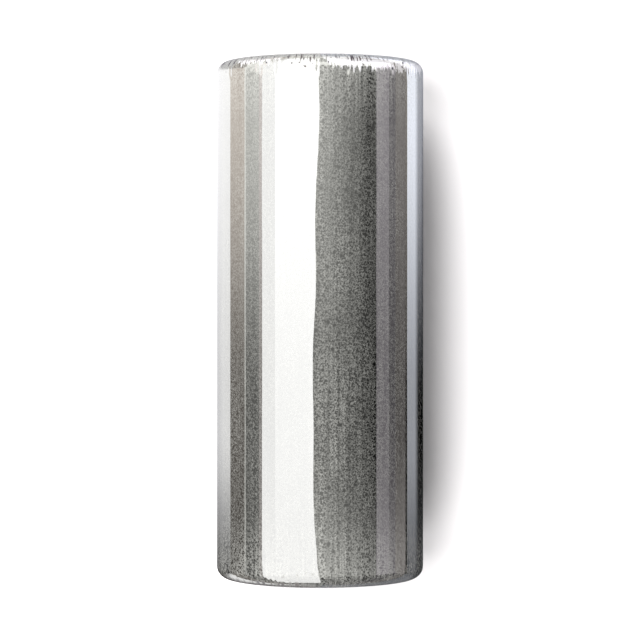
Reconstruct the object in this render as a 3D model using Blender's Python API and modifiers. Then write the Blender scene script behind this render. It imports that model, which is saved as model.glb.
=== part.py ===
"""Guitar slide: one open, straight, plated metal tube with rounded rims.

The tube lies on its side. Its axis runs along Y, its outer wall rests on Z = 0,
and the origin is underneath its middle. All sizes are in metres.
"""
import math

import bpy

# Driving dimensions
OUTER_DIAMETER = 0.0254
BORE_DIAMETER = 0.01905
LENGTH = 0.0635
RIM_RADIUS = 0.0015         # rounding of the outer edge at each end
BORE_EDGE_RADIUS = 0.0006   # rounding of the bore's edge at each end

# Facets. 4k + 2 of them around, so that a flat one lies exactly underneath.
FACETS_AROUND = 74
RIM_STEPS = 6
BORE_EDGE_STEPS = 4
MERGE_DISTANCE = 0.00001

# Polished plating
PLATE_COLOUR = (0.62, 0.62, 0.60, 1.0)
PLATE_ROUGHNESS = 0.08

OUTER_RADIUS = OUTER_DIAMETER / 2
BORE_RADIUS = BORE_DIAMETER / 2
HALF_LENGTH = LENGTH / 2
# The facets' flats lie a little closer to the axis than their edges do.
AXIS_HEIGHT = OUTER_RADIUS * math.cos(math.pi / FACETS_AROUND)


def clear_scene():
    """Remove every object that is already in the scene."""
    for obj in list(bpy.data.objects):
        bpy.data.objects.remove(obj)


def new_collection(name):
    """A collection of the given name, linked to the scene."""
    collection = bpy.data.collections.new(name)
    bpy.context.scene.collection.children.link(collection)
    return collection


def metal(name, colour, roughness):
    """A plain metallic material."""
    material = bpy.data.materials.new(name)
    material.use_nodes = True
    material.diffuse_color = colour
    shader = material.node_tree.nodes["Principled BSDF"]
    shader.inputs["Base Color"].default_value = colour
    shader.inputs["Metallic"].default_value = 1.0
    shader.inputs["Roughness"].default_value = roughness
    return material


def quarter_round(centre_radius, centre_height, radius, start_degrees, steps):
    """Points of a quarter circle in the X-Z plane, turning clockwise from its start."""
    points = []
    for step in range(steps + 1):
        angle = math.radians(start_degrees - 90.0 * step / steps)
        x = centre_radius + radius * math.cos(angle)
        z = centre_height + radius * math.sin(angle)
        points.append((x, 0.0, z))
    return points


def wall_profile():
    """The wall's closed outline: down the outside, inwards, up the bore, outwards."""
    rim_centre = OUTER_RADIUS - RIM_RADIUS
    rim_height = HALF_LENGTH - RIM_RADIUS
    bore_edge_centre = BORE_RADIUS + BORE_EDGE_RADIUS
    bore_edge_height = HALF_LENGTH - BORE_EDGE_RADIUS
    return (
        quarter_round(rim_centre, rim_height, RIM_RADIUS, 90, RIM_STEPS)
        + quarter_round(rim_centre, -rim_height, RIM_RADIUS, 0, RIM_STEPS)
        + quarter_round(bore_edge_centre, -bore_edge_height, BORE_EDGE_RADIUS, 270, BORE_EDGE_STEPS)
        + quarter_round(bore_edge_centre, bore_edge_height, BORE_EDGE_RADIUS, 180, BORE_EDGE_STEPS)
    )


def turned(name, profile, facets):
    """A closed profile at +X, turned a full circle around the object's Z axis."""
    edges = [(i, (i + 1) % len(profile)) for i in range(len(profile))]
    mesh = bpy.data.meshes.new(name)
    mesh.from_pydata(profile, edges, [])
    obj = bpy.data.objects.new(name, mesh)
    screw = obj.modifiers.new("turn", "SCREW")
    screw.axis = "Z"
    screw.angle = math.tau
    screw.steps = facets
    screw.render_steps = facets
    screw.use_merge_vertices = True
    screw.merge_threshold = MERGE_DISTANCE
    screw.use_smooth_shade = True
    return obj


def slide_tube():
    """The whole slide, laid on its side along Y."""
    tube = turned("slide_tube", wall_profile(), FACETS_AROUND)
    tube.rotation_euler = (math.radians(-90), 0.0, 0.0)
    tube.location = (0.0, 0.0, AXIS_HEIGHT)
    tube.data.materials.append(metal("chrome_plate", PLATE_COLOUR, PLATE_ROUGHNESS))
    return tube


def build():
    """Build the slide in a collection of its own."""
    clear_scene()
    new_collection("guitar_slide").objects.link(slide_tube())


build()
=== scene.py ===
"""Looks for the guitar slide: a polished, plated tube lying on a white surface.

The tube's axis runs along Y. It is seen from almost straight above, +Y up in the picture,
and a row of soft lights hangs a little to the left (-X).
"""
import math

import bpy
import numpy as np
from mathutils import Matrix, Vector


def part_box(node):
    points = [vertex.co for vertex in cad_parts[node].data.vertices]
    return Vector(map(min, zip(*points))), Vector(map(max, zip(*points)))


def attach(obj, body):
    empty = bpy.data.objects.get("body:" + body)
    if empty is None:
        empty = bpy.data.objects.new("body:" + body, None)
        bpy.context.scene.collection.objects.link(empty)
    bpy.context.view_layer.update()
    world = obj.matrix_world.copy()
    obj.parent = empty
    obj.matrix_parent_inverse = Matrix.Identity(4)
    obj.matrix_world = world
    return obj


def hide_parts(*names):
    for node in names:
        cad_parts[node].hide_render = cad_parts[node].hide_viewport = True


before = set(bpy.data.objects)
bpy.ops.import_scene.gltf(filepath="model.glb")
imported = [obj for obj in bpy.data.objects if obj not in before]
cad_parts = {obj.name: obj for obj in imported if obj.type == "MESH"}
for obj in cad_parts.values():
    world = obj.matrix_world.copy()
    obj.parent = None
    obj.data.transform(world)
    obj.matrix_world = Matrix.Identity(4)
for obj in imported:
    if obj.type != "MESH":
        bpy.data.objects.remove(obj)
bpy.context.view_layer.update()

MM = 0.001

# The tube, from the frame, and its bore and rounded edges, as the CAD has them
low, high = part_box("slide_tube")
RADIUS = (high.x - low.x) / 2
HALF_LENGTH = (high.y - low.y) / 2
AXIS_HEIGHT = low.z + RADIUS
CENTRE = Vector(((low.x + high.x) / 2, (low.y + high.y) / 2, AXIS_HEIGHT))
BORE_RADIUS = 9.525 * MM
RIM_RADIUS = 1.5 * MM
BORE_EDGE_RADIUS = 0.6 * MM

# Resolution of the tube's mesh
AROUND = 960
BODY_ROWS = 6
SHOULDER_ROWS = 8
RIM_ROWS = 24
FACE_ROWS = 2
BORE_EDGE_ROWS = 6
BORE_ROWS = 6

# The rims are ground and polished by hand, which leaves them uneven along the surface's
# normal. That starts on the shoulder, the last stretch of the straight side.
SHOULDER = 1.5 * MM
# Each kind of unevenness: its depth, the fewest and the most waves round the tube, the
# shortest wave across the rim, and how many waves add up to it
FLUTES = (0.010 * MM, (30, 170), 6.0 * MM, 60)
DENTS = (0.005 * MM, (25, 150), 0.8 * MM, 90)
SWELLS = (0.022 * MM, (4, 26), 3.5 * MM, 20)
# The back and the front rim: the sign of y there, a random seed, which goes up by
# SEED_STEP from one kind to the next, and how uneven it is
RIMS = ((1, 11, 1.0), (-1, 12, 0.45))
SEED_STEP = 20

# The plating scatters a little of the light as a haze. HAZE is its usual share.
PLATE_COLOUR = (0.64, 0.64, 0.60)
PLATE_ROUGHNESS = (0.015, 0.03)
HAZE = 0.0825
# A strip along the top has thicker haze, so it reads brighter: painted sheen beside where
# the big white card's reflection ends. How many times, and where it rises on the left and
# falls on the right, as angles from straight up
TOP_SHEEN_HAZE = 1.65
TOP_SHEEN_LEFT = (math.radians(-9), math.radians(-3))
TOP_SHEEN_RIGHT = (0.0, math.radians(28))
# What is added to the haze near both ends, and where that fades out, from the end. The
# front rim's outermost edge has none of it, and BARE_EDGE is where it comes in.
RIM_HAZE = 0.115
RIM_HAZE_REACH = (2 * MM, 8 * MM)
BARE_EDGE = (0.5 * MM, 1.3 * MM)
# How the haze varies, in factors: with its grain, its patches and the draw lines, with
# the draw lines near the ends, and how the size of its specks varies in columns
GRAIN_RANGE = (0.10, 1.90)
HAZE_PATCH_RANGE = (0.8, 1.25)
LINE_RANGE = (0.75, 1.25)
RIM_LINE_RANGE = (0.6, 1.4)
COLUMN_RANGE = (0.6, 1.3)

# Tool marks: the draw lines' depth, how many times as deep the rings on the end faces
# are and how rough, and how close to the end a point is on such a face
DRAW_LINE_DEPTH = 0.0006 * MM
FACE_RING_SHARE = 5.0
FACE_ROUGHNESS = 0.22
FACE_DEPTH = 0.08 * MM

# Worn plating on the rims, and the front rim's bars, whose darkness is also painted
# reflection: its two stains, how much of the mirror it takes away, and how much rougher it is
WORN_BROWN = (0.086, 0.061, 0.047)
WORN_BLUE = (0.036, 0.043, 0.072)
WORN_OFF = 0.75
WORN_ROUGHNESS = 0.3
# Streaks on the back rim: the noise at which they begin and are full, what its patches
# add to it, where they weaken, from the rim's corner, and what share is left there
STREAK_EDGE = (0.51, 0.61)
STREAK_PATCH_RANGE = (-0.08, 0.10)
STREAK_REACH = (0.85 * MM, 1.5 * MM)
STREAK_REST = 0.55
# Bars on the front rim, worn plating whose darkness also paints the dark things that rim
# mirrors: the noise at which they begin and are full, how worn and dark they are then, where
# they fade out, from the end and from the rim's corner, and what share is left of them
# outside their patches
BAR_EDGE = (0.47, 0.56)
BAR_WEAR_AND_REFLECTION = 0.85
BAR_REACH = (0.6 * MM, 0.9 * MM)
BAR_CORNER_REACH = (1.05 * MM, 1.4 * MM)
BAR_REST = 0.15
# Pits: where they fade out, from the rim's corner, how ragged they are, in factors, and
# how strong they are on the front rim
PIT_REACH = (1.6 * MM, 2.6 * MM)
PIT_RANGE = (0.3, 1.3)
FRONT_PITS = 0.35

# The back rim is rubbed matt: how far from the end, at least and at most, how much chips
# take off or add, the blur of its border, where the untouched line along the end fades
# out, and its haze
RUBBED = (0.9 * MM, 2.3 * MM)
CHIP = 0.25 * MM
RUBBED_BLUR = 0.04 * MM
EDGE_LINE = (0.35 * MM, 0.75 * MM)
RUBBED_HAZE = 0.55
RUBBED_COLOUR = (0.92, 0.91, 0.92)

# The bore: its metal and stains, where in their noise the stains show, and its rings
BORE_COLOUR = (0.50, 0.50, 0.47)
BORE_STAIN = (0.30, 0.28, 0.25)
BORE_STAIN_EDGE = (0.35, 0.7)
BORE_ROUGHNESS = (0.22, 0.38)
BORE_RING_DEPTH = 0.004 * MM

# Noise on the surface: waves per millimetre round the tube and along it, detail,
# roughness, and a shift that keeps one noise apart from another
DRAW_LINES = ((5.0, 0.05), 2.0, 0.5, 0.0)
HAZE_GRAIN = ((7.5, 6.5), 2.0, 0.6, 0.0)
HAZE_PATCHES = ((0.30, 0.12), 3.0, 0.6, 0.0)
HAZE_COLUMNS = ((1.6, 0.03), 2.0, 0.5, 7.0)
WORN_STREAKS = ((4.2, 0.4), 2.0, 0.6, 3.0)
WORN_PATCHES = ((0.20, 0.3), 2.0, 0.5, 9.0)
STAIN_PATCHES = ((0.35, 0.3), 1.0, 0.5, 8.0)
PIT_OUTLINES = ((6.0, 5.0), 2.0, 0.6, 11.0)
FRONT_BARS = ((2.6, 0.2), 2.0, 0.5, 13.0)
RUBBED_DRIPS = ((2.4, 0.15), 3.0, 0.6, 15.0)
RUBBED_CHIPS = ((4.0, 3.0), 2.0, 0.6, 17.0)
RUBBED_PATCHES = ((0.11, 0.02), 1.0, 0.5, 23.0)
FACE_RINGS = ((0.04, 8.0), 2.0, 0.6, 6.0)
BORE_RINGS = ((0.02, 9.0), 3.0, 0.6, 0.0)
BORE_STAINS = ((0.12, 0.10), 3.0, 0.6, 4.0)
# Dots on it: cells per millimetre round the tube and along it, the smallest and largest
# dot's reach in cells, where less than nothing is no dot, and a shift
SMALL_SPECKS = ((3.5, 3.1), 0.10, 0.52, 0.0)
LARGE_SPECKS = ((1.1, 1.0), -0.7, 0.28, 2.0)
PITS = ((1.3, 1.1), -0.7, 0.34, 5.0)
# A dot's soft border, as shares of its reach, and the least reach that a dot has
DOT_BORDER = (0.6, 1.2)
LEAST_REACH = 0.001
# The spans that noise mostly stays in, from wide to narrow, and where its patches begin
# and are full
WIDE_SPAN = (0.30, 0.70)
NOISE_SPAN = (0.35, 0.65)
GRAIN_SPAN = (0.36, 0.64)
PATCH_EDGE = (0.42, 0.56)
# Noise is weak and regular on its own lattice, so textures are turned and lifted off it
LATTICE_TURN = math.radians(27)
LATTICE_LIFT = 0.37
# A Mix node's colour sockets share their names with others, so they go by number
MIX_FIRST, MIX_SECOND, MIX_RESULT = 6, 7, 2

# Camera: its height above the tube's axis, how far it is moved along +Y, where its view
# begins, and its lens and sensor in millimetres
CAMERA_HEIGHT = 24.4 * RADIUS
CAMERA_OFFSET = 2.9 * MM
CAMERA_CLIP = 10 * MM
LENS = 141.4
SENSOR_WIDTH = 36


def ripples(angles, reach, waves, shortest, count, seed):
    """A field of random waves round the tube and across a rim, about -1 to 1.

    waves is the lowest and highest wave count round the tube, and shortest the
    shortest wavelength across the rim. reach is how far across it each row lies.
    """
    rng = np.random.default_rng(seed)
    total = np.zeros((len(reach), len(angles)))
    for _ in range(count):
        around = round(rng.uniform(*waves))
        across = rng.uniform(-1, 1) * math.tau / shortest
        phase = rng.uniform(0, math.tau)
        total += np.cos(around * angles[None, :] + across * reach[:, None] + phase)
    return total / math.sqrt(2 * count)


def quarter_round(centre_radius, centre_y, radius, start_degrees, steps):
    """Radius, y and normal of points on a quarter circle that turns clockwise."""
    points = []
    for step in range(steps):
        angle = math.radians(start_degrees - 90 * (step + 0.5) / steps)
        normal = (math.cos(angle), math.sin(angle))
        points.append((centre_radius + radius * normal[0], centre_y + radius * normal[1], *normal))
    return points


def straight(start, end, steps, normal):
    """Radius, y and normal of points along a straight stretch, its ends included."""
    points = []
    for step in range(steps + 1):
        share = step / steps
        radius = start[0] + (end[0] - start[0]) * share
        y = start[1] + (end[1] - start[1]) * share
        points.append((radius, y, *normal))
    return points


def wall_profile():
    """The wall's closed outline: along the outside, in, back through the bore, out."""
    rim_radius = RADIUS - RIM_RADIUS
    rim_y = HALF_LENGTH - RIM_RADIUS
    body_y = rim_y - SHOULDER
    edge_radius = BORE_RADIUS + BORE_EDGE_RADIUS
    edge_y = HALF_LENGTH - BORE_EDGE_RADIUS
    return np.array(
        straight((RADIUS, rim_y), (RADIUS, body_y), SHOULDER_ROWS, (1, 0))[:-1]
        + straight((RADIUS, body_y), (RADIUS, -body_y), BODY_ROWS, (1, 0))
        + straight((RADIUS, -body_y), (RADIUS, -rim_y), SHOULDER_ROWS, (1, 0))[1:]
        + quarter_round(rim_radius, -rim_y, RIM_RADIUS, 0, RIM_ROWS)
        + straight((rim_radius, -HALF_LENGTH), (edge_radius, -HALF_LENGTH), FACE_ROWS, (0, -1))
        + quarter_round(edge_radius, -edge_y, BORE_EDGE_RADIUS, 270, BORE_EDGE_ROWS)
        + straight((BORE_RADIUS, -edge_y), (BORE_RADIUS, edge_y), BORE_ROWS, (-1, 0))
        + quarter_round(edge_radius, edge_y, BORE_EDGE_RADIUS, 180, BORE_EDGE_ROWS)
        + straight((edge_radius, HALF_LENGTH), (rim_radius, HALF_LENGTH), FACE_ROWS, (0, 1))
        + quarter_round(rim_radius, rim_y, RIM_RADIUS, 90, RIM_ROWS)
    )


def rim_relief(angles, profile):
    """The rims' unevenness in metres along the normal, nothing at the end faces."""
    y, out, along = profile[:, 1], profile[:, 2], profile[:, 3]
    tilt = np.arctan2(np.abs(along), out)
    from_rim = HALF_LENGTH - RIM_RADIUS - np.abs(y)
    reach = np.where(tilt > 0, tilt * RIM_RADIUS, -from_rim)
    arc_length = RIM_RADIUS * math.pi / 2
    outer = (out >= 0) & (reach > -SHOULDER) & (reach < arc_length)
    place = np.clip((reach + SHOULDER) / (SHOULDER + arc_length), 0, 1)
    envelope = np.where(outer, np.sin(place * math.pi) ** 2, 0.0)[:, None]
    relief = np.zeros((len(profile), len(angles)))
    for side, seed, share in RIMS:
        field = 0
        for kind, (depth, waves, shortest, count) in enumerate((FLUTES, DENTS, SWELLS)):
            field += depth * ripples(angles, reach, waves, shortest, count, seed + kind * SEED_STEP)
        relief += np.where(y[:, None] * side > 0, field * share, 0.0)
    return relief * envelope


def tube_mesh(name):
    """The turned wall with its relief, as one closed grid of quads."""
    profile = wall_profile()
    rows = len(profile)
    angles = np.arange(AROUND) * math.tau / AROUND
    radius, y, out, along = (column[:, None] for column in profile.T)
    relief = rim_relief(angles, profile)
    ring_radius = radius + out * relief
    points = np.empty((rows, AROUND, 3))
    points[..., 0] = CENTRE.x + ring_radius * np.sin(angles)
    points[..., 1] = CENTRE.y + y + along * relief
    points[..., 2] = np.maximum(CENTRE.z + ring_radius * np.cos(angles), low.z)
    row = np.arange(rows)[:, None]
    column = np.arange(AROUND)[None, :]
    next_row, next_column = (row + 1) % rows, (column + 1) % AROUND
    corners = [row * AROUND + column, row * AROUND + next_column,
               next_row * AROUND + next_column, next_row * AROUND + column]
    faces = np.stack([np.broadcast_to(c, (rows, AROUND)) for c in corners], axis=-1)
    mesh = bpy.data.meshes.new(name)
    mesh.from_pydata(points.reshape(-1, 3), [], faces.reshape(-1, 4).tolist())
    mesh.shade_smooth()
    bore = (profile[:, 2] < 0) & (np.roll(profile[:, 2], -1) < 0)
    mesh.polygons.foreach_set("material_index", np.repeat(bore, AROUND).astype(np.int32))
    mesh.update()
    return mesh


# ---------------------------------------------------------------- finish

class Nodes:
    """Short hand for building one material's nodes."""

    def __init__(self, name):
        self.material = bpy.data.materials.new(name)
        self.material.use_nodes = True
        self.tree = self.material.node_tree
        self.shader = self.tree.nodes["Principled BSDF"]

    def add(self, kind, **settings):
        node = self.tree.nodes.new("ShaderNode" + kind)
        for key, value in settings.items():
            setattr(node, key, value)
        return node

    def link(self, output, socket):
        self.tree.links.new(output, socket)

    def maths(self, operation, first, second=None, third=None, clamp=False):
        """One Math node. Each value is a number or a socket."""
        node = self.add("Math", operation=operation, use_clamp=clamp)
        for socket, value in zip(node.inputs, (first, second, third)):
            if isinstance(value, bpy.types.NodeSocket):
                self.link(value, socket)
            elif value is not None:
                socket.default_value = value
        return node.outputs[0]

    def product(self, first, *others):
        """All of them multiplied, from left to right."""
        for other in others:
            first = self.maths("MULTIPLY", first, other)
        return first

    def remap(self, value, start, end, to_start, to_end):
        """Start becomes to_start and end to_end, and it stays within those two."""
        node = self.add("MapRange")
        self.link(value, node.inputs["Value"])
        for key, number in zip(("From Min", "From Max", "To Min", "To Max"),
                               (start, end, to_start, to_end)):
            node.inputs[key].default_value = number
        return node.outputs["Result"]

    def rise(self, value, start, end):
        """0 at start, 1 at end."""
        return self.remap(value, start, end, 0.0, 1.0)

    def fall(self, value, start, end):
        """1 at start, 0 at end."""
        return self.remap(value, start, end, 1.0, 0.0)

    def spread(self, noise, least, most):
        """A noise, spread over a range."""
        return self.remap(noise, *NOISE_SPAN, least, most)

    def mix(self, share, first, second):
        """A colour between two, each of them a colour or a socket."""
        node = self.add("Mix", data_type="RGBA")
        self.link(share, node.inputs["Factor"])
        for number, colour in ((MIX_FIRST, first), (MIX_SECOND, second)):
            if isinstance(colour, bpy.types.NodeSocket):
                self.link(colour, node.inputs[number])
            else:
                node.inputs[number].default_value = (*colour, 1)
        return node.outputs[MIX_RESULT]

    def bump(self, height, depth):
        """Tool marks in the surface, at most so deep."""
        node = self.add("Bump")
        node.inputs["Distance"].default_value = depth
        self.link(height, node.inputs["Height"])
        self.link(node.outputs["Normal"], self.shader.inputs["Normal"])

    def unrolled(self):
        """Works out where on the tube a point is.

        turn is its angle from straight up, inward its depth below the outside, from_end
        its distance from the nearer end, and at_back 1 on the back half. surface is the
        unrolled surface in millimetres: round the tube, and along it and in.
        """
        spot = self.add("SeparateXYZ")
        self.link(self.add("TexCoord").outputs["Object"], spot.inputs["Vector"])
        x, y = spot.outputs["X"], spot.outputs["Y"]
        z = self.maths("SUBTRACT", spot.outputs["Z"], AXIS_HEIGHT)
        self.turn = self.maths("ARCTAN2", x, z)
        square = self.maths("MULTIPLY_ADD", x, x, self.maths("MULTIPLY", z, z))
        self.inward = self.maths("SUBTRACT", RADIUS, self.maths("SQRT", square))
        self.from_end = self.maths("SUBTRACT", HALF_LENGTH, self.maths("ABSOLUTE", y))
        self.at_back = self.maths("GREATER_THAN", y, 0.0)
        run = self.maths("ADD", self.maths("ABSOLUTE", y), self.inward)
        run = self.maths("MULTIPLY", run, self.maths("SIGN", y))
        join = self.add("CombineXYZ")
        self.link(self.maths("MULTIPLY", self.turn, RADIUS / MM), join.inputs["X"])
        self.link(self.maths("DIVIDE", run, MM), join.inputs["Y"])
        self.surface = join.outputs["Vector"]

    def scaled(self, scale, shift):
        """The unrolled surface for a texture, scaled and moved."""
        mapping = self.add("Mapping")
        mapping.inputs["Scale"].default_value = (*scale, 1)
        mapping.inputs["Location"].default_value = (shift, shift, shift + LATTICE_LIFT)
        mapping.inputs["Rotation"].default_value = (0, 0, LATTICE_TURN)
        self.link(self.surface, mapping.inputs["Vector"])
        return mapping.outputs["Vector"]

    def noise(self, scale, detail, roughness, shift):
        """Noise with so many waves per millimetre round the tube and along it."""
        node = self.add("TexNoise", noise_dimensions="3D")
        node.inputs["Scale"].default_value = 1.0
        node.inputs["Detail"].default_value = detail
        node.inputs["Roughness"].default_value = roughness
        self.link(self.scaled(scale, shift), node.inputs["Vector"])
        return node.outputs["Fac"]

    def dots(self, scale, smallest, largest, shift, swell=None):
        """Round soft-edged dots, one to a cell: 1 inside, 0 outside. Sizes in cells."""
        node = self.add("TexVoronoi", feature="F1", voronoi_dimensions="2D")
        node.inputs["Scale"].default_value = 1.0
        self.link(self.scaled(scale, shift), node.inputs["Vector"])
        chance = self.add("SeparateColor")
        self.link(node.outputs["Color"], chance.inputs["Color"])
        reach = self.remap(chance.outputs["Red"], 0.0, 1.0, smallest, largest)
        if swell:
            reach = self.maths("MULTIPLY", reach, swell)
        reach = self.maths("MAXIMUM", reach, LEAST_REACH)
        share = self.maths("DIVIDE", node.outputs["Distance"], reach)
        return self.fall(share, *DOT_BORDER)


def haze(n, lines):
    """The share of the light that the plating scatters, broken by dark specks."""
    grain = n.remap(n.noise(*HAZE_GRAIN), *GRAIN_SPAN, *GRAIN_RANGE)
    patches = n.spread(n.noise(*HAZE_PATCHES), *HAZE_PATCH_RANGE)
    # Thicker haze on a strip along the top: painted sheen that brightens it
    top_sheen = n.maths("MINIMUM", n.remap(n.turn, *TOP_SHEEN_LEFT, 1.0, TOP_SHEEN_HAZE),
                      n.remap(n.turn, *TOP_SHEEN_RIGHT, TOP_SHEEN_HAZE, 1.0))
    share = n.product(grain, patches, HAZE, top_sheen, n.spread(lines, *LINE_RANGE))
    rims = n.remap(n.from_end, *RIM_HAZE_REACH, RIM_HAZE, 0.0)
    rims = n.product(rims, n.maths("MAXIMUM", n.rise(n.from_end, *BARE_EDGE), n.at_back))
    share = n.maths("MULTIPLY_ADD", rims, n.spread(lines, *RIM_LINE_RANGE), share)
    columns = n.spread(n.noise(*HAZE_COLUMNS), *COLUMN_RANGE)
    specks = n.maths("MAXIMUM", n.dots(*SMALL_SPECKS, swell=columns), n.dots(*LARGE_SPECKS))
    return n.maths("MULTIPLY", share, n.maths("SUBTRACT", 1.0, specks), clamp=True)


def front_bars(n, from_corner, patches):
    """Dark bars along the tube's direction, in patches on the front rim's rounding: worn plating,
    and painted reflection of the dark things that rim mirrors.
    """
    bars = n.remap(n.noise(*FRONT_BARS), *BAR_EDGE, 0.0, BAR_WEAR_AND_REFLECTION)
    return n.product(bars, n.fall(n.from_end, *BAR_REACH), n.fall(from_corner, *BAR_CORNER_REACH),
                     n.remap(patches, *PATCH_EDGE, BAR_REST, 1.0),
                     n.maths("SUBTRACT", 1.0, n.at_back))


def rim_wear_and_reflection(n):
    """Where the plating on the rims is worn and dirty, 0 to 1, in streaks, pits and the front rim's
    bars, whose darkness is also painted reflection.
    """
    # How far a point is from the corner that the rim would have without its rounding
    from_corner = n.maths("ADD", n.from_end, n.inward)
    patches = n.noise(*WORN_PATCHES)
    streaks = n.maths("ADD", n.noise(*WORN_STREAKS), n.spread(patches, *STREAK_PATCH_RANGE))
    near = n.product(n.remap(from_corner, *STREAK_REACH, 1.0, STREAK_REST), n.at_back)
    streaks = n.rise(n.product(streaks, near), *STREAK_EDGE)
    # The front rim's bars join the wear here; their darkness is also painted reflection
    wear_and_reflection = n.maths("MAXIMUM", streaks, front_bars(n, from_corner, patches))
    outline = n.spread(n.noise(*PIT_OUTLINES), *PIT_RANGE)
    pits = n.product(n.dots(*PITS, swell=outline), n.fall(from_corner, *PIT_REACH),
                     n.remap(n.at_back, 0.0, 1.0, FRONT_PITS, 1.0))
    return n.maths("MAXIMUM", wear_and_reflection, pits)


def rubbed_edge(n):
    """Where the back rim is rubbed matt, 0 to 1, down to a ragged line of drips."""
    drips = n.spread(n.noise(*RUBBED_DRIPS), *RUBBED)
    chips = n.remap(n.noise(*RUBBED_CHIPS), *WIDE_SPAN, -CHIP, CHIP)
    patches = n.rise(n.noise(*RUBBED_PATCHES), *PATCH_EDGE)
    reach = n.product(n.maths("ADD", drips, chips), patches)
    rubbed = n.rise(n.maths("SUBTRACT", reach, n.from_end), -RUBBED_BLUR, RUBBED_BLUR)
    return n.product(rubbed, n.rise(n.from_end, *EDGE_LINE), n.at_back)


def plating():
    """Bright hazy plating with draw lines, and worn and rubbed at its rims, with painted reflection
    in the front rim's dark bars.
    """
    n = Nodes("bright_plating")
    n.unrolled()
    lines = n.noise(*DRAW_LINES)
    rubbed = rubbed_edge(n)
    wear_and_reflection = rim_wear_and_reflection(n)
    scattered = n.maths("MAXIMUM", haze(n, lines), n.product(rubbed, RUBBED_HAZE))
    dull = n.maths("ADD", scattered, n.product(wear_and_reflection, WORN_OFF))
    n.link(n.maths("SUBTRACT", 1.0, dull, clamp=True), n.shader.inputs["Metallic"])
    rings = n.product(n.noise(*FACE_RINGS), n.fall(n.from_end, 0.0, FACE_DEPTH))
    rough = n.remap(lines, *WIDE_SPAN, *PLATE_ROUGHNESS)
    rough = n.maths("ADD", rough, n.product(rings, FACE_ROUGHNESS))
    rough = n.maths("ADD", rough, n.product(wear_and_reflection, WORN_ROUGHNESS))
    n.link(rough, n.shader.inputs["Roughness"])
    stain = n.mix(n.noise(*STAIN_PATCHES), WORN_BROWN, WORN_BLUE)
    plate = n.mix(rubbed, PLATE_COLOUR, RUBBED_COLOUR)
    n.link(n.mix(wear_and_reflection, plate, stain), n.shader.inputs["Base Color"])
    n.bump(n.maths("ADD", lines, n.product(rings, FACE_RING_SHARE)), DRAW_LINE_DEPTH)
    return n.material


def bore_finish():
    """The bore's duller turned finish."""
    n = Nodes("turned_bore")
    n.unrolled()
    rings = n.noise(*BORE_RINGS)
    stains = n.rise(n.noise(*BORE_STAINS), *BORE_STAIN_EDGE)
    n.link(n.remap(rings, *WIDE_SPAN, *BORE_ROUGHNESS), n.shader.inputs["Roughness"])
    n.link(n.mix(stains, BORE_COLOUR, BORE_STAIN), n.shader.inputs["Base Color"])
    n.shader.inputs["Metallic"].default_value = 1.0
    n.bump(rings, BORE_RING_DEPTH)
    return n.material


def slide_tube():
    """The visible tube, which stands for the CAD's."""
    mesh = tube_mesh("slide_tube_finish")
    mesh.materials.append(plating())
    mesh.materials.append(bore_finish())
    tube = bpy.data.objects.new("slide_tube_finish", mesh)
    bpy.context.scene.collection.objects.link(tube)
    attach(tube, "root")
    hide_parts("slide_tube")


# ---------------------------------------------------------------- studio

def painted(name, points, faces, colours):
    """A stage mesh whose corners carry their own colour."""
    mesh = bpy.data.meshes.new(name)
    mesh.from_pydata(points, [], faces)
    layer = mesh.color_attributes.new("light", "FLOAT_COLOR", "POINT")
    rgba = np.ones((len(points), 4), np.float32)
    rgba[:, :3] = colours
    layer.data.foreach_set("color", rgba.ravel())
    obj = bpy.data.objects.new(name, mesh)
    bpy.context.scene.collection.objects.link(obj)
    return obj


def grid(columns, rows):
    """Quads that join a grid of points, given row by row."""
    return [(r * columns + c, r * columns + c + 1, (r + 1) * columns + c + 1, (r + 1) * columns + c)
            for r in range(rows - 1) for c in range(columns - 1)]


def seen_only(obj, camera=False, glossy=False, diffuse=False):
    """Shows an object to some kinds of rays only. It never casts a shadow."""
    obj.visible_camera = camera
    obj.visible_glossy = glossy
    obj.visible_diffuse = diffuse
    obj.visible_shadow = False
    obj.visible_transmission = False
    obj.visible_volume_scatter = False


def glowing(name):
    """Emits the colour that its mesh carries."""
    material = bpy.data.materials.new(name)
    material.use_nodes = True
    nodes, links = material.node_tree.nodes, material.node_tree.links
    nodes.clear()
    colour = nodes.new("ShaderNodeVertexColor")
    colour.layer_name = "light"
    light = nodes.new("ShaderNodeEmission")
    output = nodes.new("ShaderNodeOutputMaterial")
    links.new(colour.outputs["Color"], light.inputs["Color"])
    links.new(light.outputs["Emission"], output.inputs["Surface"])
    material.cycles.emission_sampling = "NONE"
    return material


# What the tube mirrors: plain cards round it, and the table. A card's four levels are
# its brightness in front of the tube, and at the tube's front, middle and back, blended
# between. CARD_PLACES says where along the tube the camera sees the last three mirrored.
CARD_PLACES = (-34 * MM, -12 * MM, 30 * MM)
# How far past the tube a level blends into the next one, in front of it and behind it
FRONT_BLEND, BACK_BLEND = 8 * MM, 4 * MM
TENT_RADIUS = 0.5
FAR = 440 * MM
NEUTRAL, WARM, COOL, MAUVE = (1, 1, 1), (1.08, 1, 1.02), (1.0, 1, 1.05), (1.07, 1, 1.13)

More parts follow.
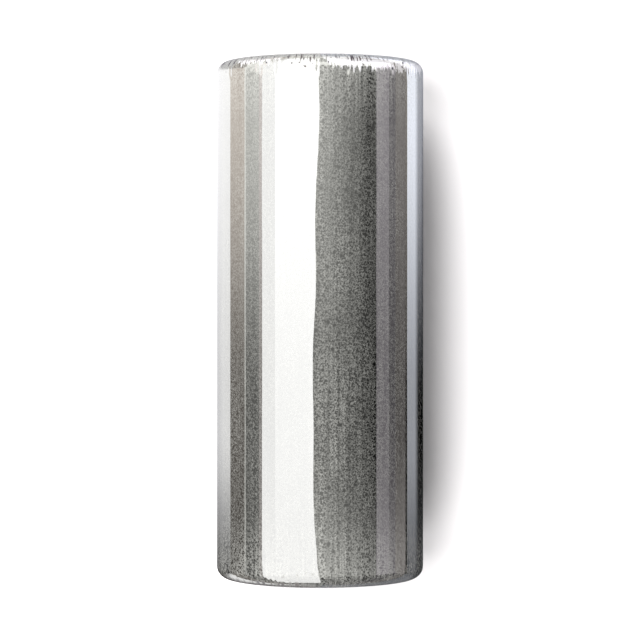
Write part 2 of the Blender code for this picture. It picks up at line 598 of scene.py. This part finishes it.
# Cards, left to right: angles from straight up where each starts and ends, its tint,
# and its levels. A card with a second set of levels fades across to it. WHITE_EDGE stands
# for the big white card's right edge, which isn't at one angle.
WHITE_EDGE = 0
CARDS = (
    (-90, -88, NEUTRAL, (0.15, 0.50, 0.55, 1.10)),
    (-88, -69, NEUTRAL, (0.06, 0.12, 0.13, 0.72)),
    (-69, -65, WARM, (0.15, 0.28, 0.26, 0.80)),
    (-65, -49, COOL, (1.20, 1.30, 1.24, 1.32)),
    (-49, WHITE_EDGE, COOL, (1.20, 1.30, 1.42, 1.75)),
    (WHITE_EDGE, 56, NEUTRAL, (0.06, 0.45, 0.20, 0.50), (0.05, 0.12, 0.02, 0.02)),
    (56, 63, NEUTRAL, (0.05, 0.12, 0.00, 0.08)),
    (63, 80, MAUVE, (0.06, 0.30, 0.18, 0.33)),
    (80, 90, MAUVE, (0.06, 0.20, 0.09, 0.17)),
)
# That edge's angle, how far it bows in and round which place, and two waves on it: their
# height, the length of the first, how many times as long the second is, and its phase
EDGE_ANGLE, EDGE_BOW, EDGE_MIDDLE = -7.0, 7.0, -7 * MM
EDGE_WAVE, EDGE_WAVELENGTH = 1.6, 17 * MM
SLOW_WAVE, SLOW_PHASE = 2.3, 1.0
# A white board stands behind the tube: its brightness, and how far along the tube it
# reaches as mirrored. Past it each card goes on at its own level.
BOARD = 1.1
BOARD_END = 150 * MM


def away(place, distance):
    """Where a card that far from the tube lies along Y, to be mirrored at a place."""
    return place + (place - CAMERA_OFFSET) * distance / CAMERA_HEIGHT


def blend(start, end, share):
    """From start to end as share goes from 0 to 1, gently at both."""
    share = min(max(share, 0.0), 1.0)
    return start + (end - start) * share * share * (3 - 2 * share)


def level(levels, place, behind):
    """How bright a card or part of the table is at a place along the tube.

    behind is its level from just behind the tube to the board's end.
    """
    in_front, front, middle, back = levels
    near, centre, far = CARD_PLACES
    if place > BOARD_END:
        return back
    if place > far:
        return blend(back, behind, (place - far) / BACK_BLEND)
    if place > centre:
        return blend(middle, back, (place - centre) / (far - centre))
    if place > near:
        return blend(front, middle, (place - near) / (centre - near))
    return blend(front, in_front, (near - place) / FRONT_BLEND)


def white_edge(place):
    """The angle of the big white card's right edge."""
    wave = math.sin(math.tau * place / EDGE_WAVELENGTH) * EDGE_WAVE
    slow = math.sin(math.tau * place / (EDGE_WAVELENGTH * SLOW_WAVE) + SLOW_PHASE) * EDGE_WAVE
    bow = EDGE_BOW * ((place - EDGE_MIDDLE) / HALF_LENGTH) ** 2
    return EDGE_ANGLE + min(bow, EDGE_BOW) + (wave + slow) / 2


def card_places():
    """Where the cards' brightness is worked out: closely over the tube, then far off."""
    over = np.arange(-60, 61) * MM
    return [-FAR, *over, BOARD_END, BOARD_END + MM, FAR]


def light_tent():
    """A half tunnel of card strips, seen only in reflections."""
    points, colours = [], []
    places = card_places()
    for place in places:
        y = away(place, TENT_RADIUS)
        for start, end, tint, *sets in CARDS:
            for angle, levels in ((start, sets[0]), (end, sets[-1])):
                turn = math.radians(white_edge(place) if angle == WHITE_EDGE else angle)
                points.append((TENT_RADIUS * math.sin(turn), y, TENT_RADIUS * math.cos(turn)))
                shade = level(levels, place, max(levels[-1], BOARD))
                colours.append([shade * part for part in tint])
    obj = painted("light_tent", points, grid(2 * len(CARDS), len(places)), colours)
    obj.location = (CENTRE.x, CENTRE.y, 0)
    obj.data.materials.append(glowing("card_light"))
    seen_only(obj, glossy=True)


# What closes the tunnel's ends: a pale back wall and a dim front one, with their places
# along Y and their brightness
END_WALLS = (("back_wall", 1.15, 0.9), ("front_wall", -1.15, 0.08))
WALL_SIZE = TENT_RADIUS * 1.2
WALL_FOOT = -10 * MM


def end_walls():
    """The tunnel's two ends, seen only in reflections."""
    size = WALL_SIZE
    for name, y, shade in END_WALLS:
        points = [(-size, y, WALL_FOOT), (size, y, WALL_FOOT), (size, y, size), (-size, y, size)]
        obj = painted(name, points, [(0, 1, 2, 3)], [[shade] * 3] * 4)
        obj.data.materials.append(glowing(name))
        seen_only(obj, glossy=True)


def matt(name, colour=None):
    """A surface without any shine, in one colour or else in what its mesh carries."""
    material = bpy.data.materials.new(name)
    material.use_nodes = True
    shader = material.node_tree.nodes["Principled BSDF"]
    shader.inputs["Roughness"].default_value = 1.0
    shader.inputs["Specular IOR Level"].default_value = 0.0
    if colour:
        shader.inputs["Base Color"].default_value = (*colour, 1)
    else:
        layer = material.node_tree.nodes.new("ShaderNodeVertexColor")
        layer.layer_name = "light"
        material.node_tree.links.new(layer.outputs["Color"], shader.inputs["Base Color"])
    return material


FLOOR_SIZE = 1.6
FLOOR_WHITE = (0.91, 0.89, 0.895)


def floor():
    """The plain white floor that the camera sees."""
    size = FLOOR_SIZE
    points = [(-size, -size, 0), (size, -size, 0), (size, size, 0), (-size, size, 0)]
    obj = painted("floor", points, [(0, 1, 2, 3)], [[1, 1, 1]] * 4)
    obj.data.materials.append(matt("floor_white", FLOOR_WHITE))
    seen_only(obj, camera=True, diffuse=True)


# The surface it lies on, as the tube mirrors it: a white sheet on a darker brown table,
# with a strip of painted shadow as wide as CURL_SHADOW_WIDTH along its curled right edge.
# Its colours carry painted shade as well: mostly darker towards the tube's front, and darker
# next to the tube, on top of the lamps' light and the tube's own shadow. Left to right: where
# each part starts and ends, its tint, how bright it is painted in front of the tube and at
# the tube's front, middle and back, and how bright just behind the tube. All of it is
# times SHEET_WHITE, and two parts blend across the gap between them.
SHEET_LEFT, SHEET_RIGHT = -46 * MM, 56 * MM
CURL_SHADOW_WIDTH = 9 * MM
SHEET_WHITE = 0.72
TABLE_EDGE = 0.9
# BLUE tints the shadow beside the tube and the sheet's right side with painted bluish light
BROWN, BLUE = (1.10, 1, 0.95), (0.96, 1, 1.16)
TABLE = (
    (-TABLE_EDGE, SHEET_LEFT, BROWN, (0.10, 0.05, 0.09, 0.54), 0.25),
    (SHEET_LEFT, -28 * MM, COOL, (0.80, 0.00, 0.72, 1.00), 0.45),
    # Under the tube's left side the sheet is painted darker: painted shade where it meets the tube
    (-16 * MM, 0, COOL, (0.15, 0.00, 0.50, 0.90), 0.45),
    # Beside the tube's right side: painted shadow, darker than the lamps alone shade it
    (0, 25 * MM, BLUE, (0.15, 0.03, 0.00, 0.42), 0.45),
    (32 * MM, SHEET_RIGHT, BLUE, (0.12, 0.06, 0.32, 1.00), 0.95),
    # Along the sheet's curled edge: a strip of painted shadow
    (SHEET_RIGHT, SHEET_RIGHT + CURL_SHADOW_WIDTH, BROWN, (0.05, 0.00, 0.00, 0.18), 0.50),
    (SHEET_RIGHT + CURL_SHADOW_WIDTH, TABLE_EDGE, WARM, (0.10, 0.18, 0.07, 0.17), 0.25),
)
# It lies this far below the floor, clear of it
TABLE_DROP = 0.02 * MM


def reflected_table():
    """The floor as the tube mirrors it. The lamps light it and the tube shades it, and its colours
    add painted shade: darker towards the tube's front and beside the tube, with a painted shadow
    strip along the sheet's curled edge.
    """
    points, colours = [], []
    places = card_places()
    for place in places:
        for start, end, tint, levels, behind in TABLE:
            for x in (start, end):
                points.append((x, away(place, abs(x)), 0))
                shade = SHEET_WHITE * level(levels, place, behind)
                colours.append([shade * part for part in tint])
    obj = painted("reflected_table", points, grid(2 * len(TABLE), len(places)), colours)
    obj.location = (CENTRE.x, CENTRE.y, -TABLE_DROP)
    obj.data.materials.append(matt("reflected_table"))
    seen_only(obj, glossy=True)


BACKDROP_RADIUS = 1.5


def backdrop():
    """A white dome behind everything, seen only by the camera."""
    bpy.ops.mesh.primitive_uv_sphere_add(segments=48, ring_count=24, radius=BACKDROP_RADIUS)
    dome = bpy.context.object
    dome.name = "backdrop"
    material = bpy.data.materials.new("backdrop_white")
    material.use_nodes = True
    nodes, links = material.node_tree.nodes, material.node_tree.links
    nodes.clear()
    light = nodes.new("ShaderNodeEmission")
    light.inputs["Strength"].default_value = 1.0
    output = nodes.new("ShaderNodeOutputMaterial")
    links.new(light.outputs["Emission"], output.inputs["Surface"])
    dome.data.materials.append(material)
    seen_only(dome, camera=True)


# A row of three broad soft lights hangs a little to the left, so the tube's shadow falls
# to the right and fades out towards both ends. Each has its lean along the tube in
# degrees, and its strength.
LAMP_TILT = 23
LAMP_SPREAD = 35
LAMPS = (("front_key", -40, 2.0), ("middle_key", 0, 2.4), ("back_key", 50, 3.2))
FILL = 0.22


def lamps():
    """The row of key lights, and an even fill from all round."""
    for name, lean, strength in LAMPS:
        key = bpy.data.lights.new(name, "SUN")
        key.energy = strength
        key.angle = math.radians(LAMP_SPREAD)
        lamp = bpy.data.objects.new(name, key)
        lamp.rotation_euler = (math.radians(-lean), math.radians(-LAMP_TILT), 0)
        lamp.visible_glossy = False
        bpy.context.scene.collection.objects.link(lamp)
    world = bpy.data.worlds.new("fill")
    world.use_nodes = True
    world.node_tree.nodes["Background"].inputs["Color"].default_value = (1, 1, 1, 1)
    world.node_tree.nodes["Background"].inputs["Strength"].default_value = FILL
    bpy.context.scene.world = world


def camera():
    """Looks down on the tube, tilted a little back to its middle."""
    data = bpy.data.cameras.new("camera")
    data.lens = LENS
    data.sensor_width = SENSOR_WIDTH
    data.clip_start = CAMERA_CLIP
    obj = bpy.data.objects.new("camera", data)
    obj.location = CENTRE + Vector((0, CAMERA_OFFSET, CAMERA_HEIGHT))
    obj.rotation_euler = (-math.atan2(CAMERA_OFFSET, CAMERA_HEIGHT), 0, 0)
    bpy.context.scene.collection.objects.link(obj)
    bpy.context.scene.camera = obj


bpy.context.scene.view_settings.view_transform = "Standard"
camera()
slide_tube()
floor()
reflected_table()
light_tent()
end_walls()
backdrop()
lamps()
